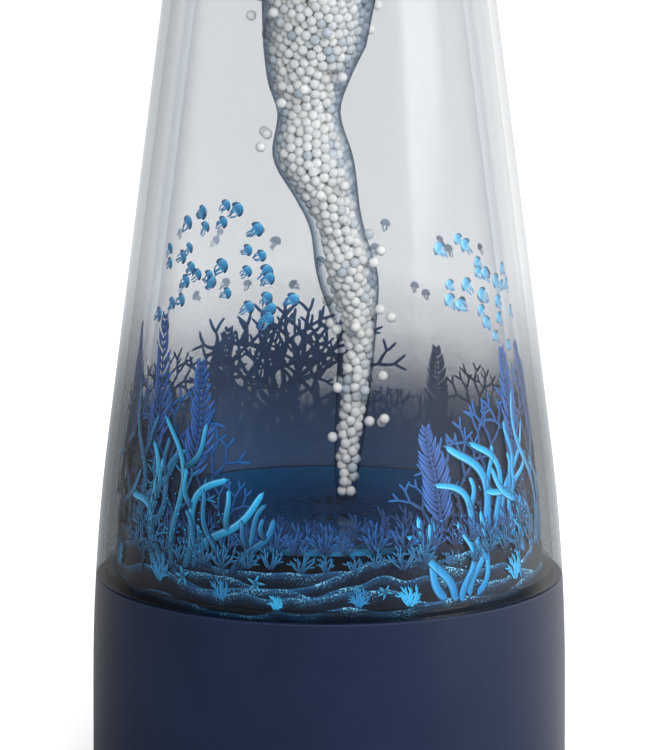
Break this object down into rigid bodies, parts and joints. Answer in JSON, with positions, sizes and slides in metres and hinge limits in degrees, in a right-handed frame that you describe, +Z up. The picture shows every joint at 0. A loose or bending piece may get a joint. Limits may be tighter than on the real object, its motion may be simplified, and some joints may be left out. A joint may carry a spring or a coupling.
{
  "type": "liquid motion lamp",
  "caption": "Liquid motion lamp with a clear conical tank, an undersea printed sleeve, a twisting column of small beads and a round dark blue base.",
  "frame": {"origin": "centre of the bottom, on the surface that the lamp stands on", "axes": "+Z up along the lamp's axis, -Y towards the front, +Y towards the controls at the back"},
  "size_m": [0.13, 0.13, 0.34],
  "materials": {
    "navy_plastic": "soft satin",
    "clear_acrylic": "clear polished",
    "print_film": "printed film",
    "blue_floor": "printed gloss",
    "guard_plastic": "moulded",
    "liquid": "clear liquid",
    "bead_white": "satin",
    "rubber_black": "moulded",
    "silicone": "translucent silicone",
    "white_plastic": "moulded",
    "opal_plastic": "opal",
    "black_plastic": "moulded",
    "steel": "plain",
    "magnet": "nickel plated",
    "ferrite": "pressed",
    "bronze": "sintered",
    "copper": "wound",
    "board_green": "solder mask",
    "led_white": "phosphor",
    "lead_red": "wire jacket"
  },
  "bodies": {
    "lamp": {"base_shell": "navy_plastic", "bottom_plate": "navy_plastic", "foot_pads": "rubber_black", "plate_screws": "steel", "outer_cover": "clear_acrylic", "print_sleeve": "print_film", "tank": "clear_acrylic", "top_ring": "white_plastic", "tank_floor": "clear_acrylic", "floor_disc": "blue_floor", "tank_seal": "rubber_black", "tank_screws": "steel", "impeller_pin": "steel", "impeller_retainer": "white_plastic", "impeller_guard": "guard_plastic", "motor_can": "steel", "motor_bushes": "bronze", "motor_end_cap": "black_plastic", "motor_terminals": "copper", "field_magnets": "ferrite", "motor_bracket": "steel", "motor_dampers": "rubber_black", "bracket_screws": "steel", "motor_screws": "steel", "led_board": "board_green", "leds": "led_white", "led_screws": "steel", "light_diffuser": "opal_plastic", "control_board": "board_green", "board_screws": "steel", "control_chip": "black_plastic", "push_switches": "black_plastic", "inlet_jack": "black_plastic", "inlet_pin": "steel", "motor_leads": "lead_red", "led_leads": "lead_red"},
    "rotor": {"motor_shaft": "steel", "motor_armature": "copper", "drive_disc": "white_plastic", "drive_magnets": "magnet"},
    "impeller": {"impeller": "white_plastic", "impeller_magnets": "magnet"},
    "swirl": {"liquid": "liquid", "beads": "bead_white"},
    "light_key": {"light_button": "navy_plastic", "light_switch_plunger": "white_plastic"},
    "swirl_key": {"swirl_button": "navy_plastic", "swirl_switch_plunger": "white_plastic"},
    "cap": {"top_cap": "navy_plastic", "filler_stopper": "silicone", "stopper_screw": "steel"}
  },
  "joints": [
    {"name": "swirl_spin", "type": "hinge", "parent": "lamp", "child": "swirl", "pos_m": [0, 0, 0.08], "axis": [0, 0, 1], "continuous": true},
    {"name": "motor_spin", "type": "hinge", "parent": "lamp", "child": "rotor", "pos_m": [0, 0, 0.08], "axis": [0, 0, 1], "continuous": true},
    {"name": "impeller_spin", "type": "hinge", "parent": "lamp", "child": "impeller", "pos_m": [0, 0, 0.08], "axis": [0, 0, 1], "continuous": true},
    {"name": "light_press", "type": "slide", "parent": "lamp", "child": "light_key", "axis": [0, -1, 0], "range_m": [0, 0.0008], "stiffness_N_per_m": 900},
    {"name": "swirl_press", "type": "slide", "parent": "lamp", "child": "swirl_key", "axis": [0, -1, 0], "range_m": [0, 0.0008], "stiffness_N_per_m": 900},
    {"name": "cap_lift", "type": "slide", "parent": "lamp", "child": "cap", "axis": [0, 0, 1], "range_m": [0, 0.06]}
  ],
  "couplings": [
    {"joint": "motor_spin", "follows": "swirl_spin", "ratio": 4},
    {"joint": "impeller_spin", "follows": "swirl_spin", "ratio": 4}
  ]
}
